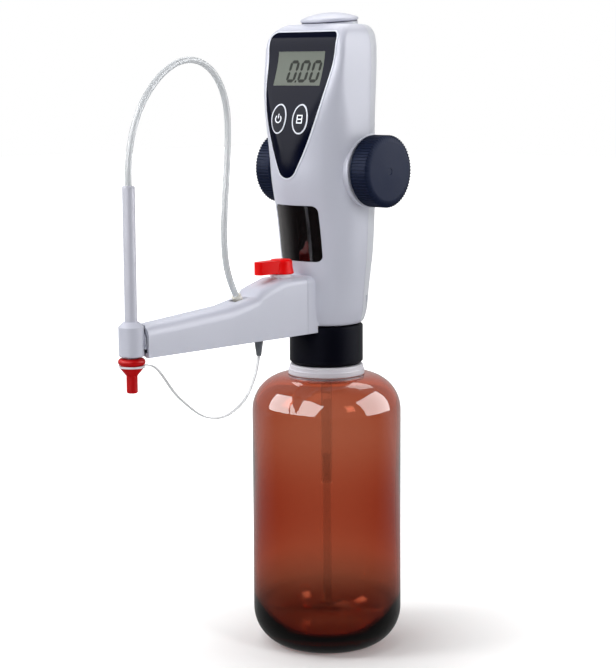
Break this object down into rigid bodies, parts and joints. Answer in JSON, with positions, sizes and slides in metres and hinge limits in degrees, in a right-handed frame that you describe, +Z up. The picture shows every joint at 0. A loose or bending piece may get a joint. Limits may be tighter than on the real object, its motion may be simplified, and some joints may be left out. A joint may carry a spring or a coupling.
{
  "type": "bottle-top burette",
  "caption": "Bottle-top burette on a reagent bottle: hand wheels drive a piston through gears, with a sliding titrating tube, valve lever and swivel base.",
  "frame": {"origin": "middle of the bottle's underside, on the bottle's axis", "axes": "+Z up along the bottle, -Y along the arm with the titrating tube, +X towards the right hand wheel as its user faces the display"},
  "size_m": [0.1014, 0.2353, 0.4277],
  "materials": {
    "amber_glass": "gloss",
    "clear_glass": "gloss",
    "pale_plastic": "satin",
    "ring_plastic": "satin",
    "navy_plastic": "satin",
    "black_plastic": "satin",
    "panel_film": "gloss",
    "light_print": "satin",
    "display_window": "gloss",
    "display_grey": "satin",
    "key_blue": "satin",
    "smoked_window": "gloss",
    "board_green": "satin",
    "natural_plastic": "satin",
    "steel": "brushed",
    "gasket_rubber": "matte",
    "seal_rubber": "matte",
    "fluoro_white": "satin",
    "ceramic_ball": "gloss",
    "red_plastic": "satin",
    "grey_plastic": "satin",
    "hose_plastic": "satin",
    "strap_plastic": "satin",
    "cell_metal": "satin"
  },
  "bodies": {
    "stand": {"bottle": "amber_glass", "pouring_ring": "ring_plastic"},
    "base": {"thread_collar": "black_plastic", "mouth_seal": "seal_rubber", "base_clip": "steel"},
    "instrument": {"front_shell": "pale_plastic", "rear_cover": "pale_plastic", "housing_screws": "steel", "front_panel": "panel_film", "panel_rims": "light_print", "display_lens": "display_window", "display_module": "display_grey", "inspection_window": "smoked_window", "circuit_board": "board_green", "battery_tray": "black_plastic", "batteries": "cell_metal", "top_cap": "pale_plastic", "cap_gasket": "gasket_rubber", "swivel_bush": "natural_plastic", "valve_block": "fluoro_white", "inlet_valve": "natural_plastic", "inlet_ball": "ceramic_ball", "filling_tube_upper": "fluoro_white", "glass_cylinder": "clear_glass", "cylinder_head": "natural_plastic", "drive_frame": "natural_plastic", "shaft_bushes": "pale_plastic", "arm_shell": "pale_plastic", "arm_base": "pale_plastic", "strap_anchor": "grey_plastic", "discharge_valve": "fluoro_white", "lever_neck_ring": "ring_plastic", "hose_gland": "natural_plastic", "hose_root": "hose_plastic", "strap_root": "strap_plastic"},
    "handwheels": {"handwheel_left": "navy_plastic", "handwheel_right": "navy_plastic", "wheel_shaft": "steel", "drive_pinion": "steel", "encoder_disc": "black_plastic"},
    "reduction": {"reduction_gear": "natural_plastic", "rack_pinion": "steel"},
    "piston_unit": {"piston_rack": "natural_plastic", "piston": "fluoro_white", "piston_seals": "seal_rubber"},
    "power_button": {"power_key": "key_blue"},
    "mode_button": {"mode_key": "key_blue"},
    "lever": {"valve_lever": "red_plastic", "valve_spindle": "fluoro_white"},
    "filling_tube": {"filling_tube_lower": "fluoro_white"},
    "rail": {"arm_rail": "pale_plastic", "tube_holder": "pale_plastic"},
    "tube": {"titrating_tube": "pale_plastic", "tube_nozzle": "fluoro_white", "hose_end": "hose_plastic", "strap_middle": "strap_plastic"},
    "cap": {"tip_cap": "red_plastic", "cap_band": "ring_plastic", "strap_end": "strap_plastic"}
  },
  "joints": [
    {"name": "lift_off", "type": "slide", "parent": "stand", "child": "base", "axis": [0, 0, 1], "range_m": [0, 0.215]},
    {"name": "swivel", "type": "hinge", "parent": "base", "child": "instrument", "pos_m": [0, 0, 0.2216], "axis": [0, 0, 1], "continuous": true},
    {"name": "handwheel_turn", "type": "hinge", "parent": "instrument", "child": "handwheels", "pos_m": [0, 0.0067, 0.324], "axis": [1, 0, 0], "range_deg": [0, 2557]},
    {"name": "reduction_turn", "type": "hinge", "parent": "instrument", "child": "reduction", "pos_m": [0, 0.00796, 0.34256], "axis": [1, 0, 0], "range_deg": [-614, 0]},
    {"name": "piston_stroke", "type": "slide", "parent": "instrument", "child": "piston_unit", "axis": [0, 0, 1], "range_m": [0, 0.06]},
    {"name": "power_press", "type": "slide", "parent": "instrument", "child": "power_button", "axis": [0, 1, 0], "range_m": [0, 0.0008], "stiffness_N_per_m": 500, "springref_m": -0.0002},
    {"name": "mode_press", "type": "slide", "parent": "instrument", "child": "mode_button", "axis": [0, 1, 0], "range_m": [0, 0.0008], "stiffness_N_per_m": 500, "springref_m": -0.0002},
    {"name": "valve_turn", "type": "hinge", "parent": "instrument", "child": "lever", "pos_m": [0, -0.044, 0.26], "axis": [0, 0, 1], "range_deg": [0, 90]},
    {"name": "filling_tube_slide", "type": "slide", "parent": "instrument", "child": "filling_tube", "axis": [0, 0, 1], "range_m": [0, 0.08]},
    {"name": "arm_slide", "type": "slide", "parent": "instrument", "child": "rail", "axis": [0, -1, 0], "range_m": [0, 0.04], "deforming": ["hose_root", "strap_root"]},
    {"name": "tube_slide", "type": "slide", "parent": "rail", "child": "tube", "axis": [0, 0, -1], "range_m": [0, 0.07], "deforming": ["hose_end", "strap_middle"]},
    {"name": "cap_pull", "type": "slide", "parent": "tube", "child": "cap", "axis": [0, 0, -1], "range_m": [0, 0.025], "deforming": ["strap_end"]}
  ],
  "couplings": [
    {"joint": "reduction_turn", "follows": "handwheel_turn", "ratio": -0.24},
    {"joint": "piston_stroke", "follows": "handwheel_turn", "m_per_rad": 0.001344}
  ]
}
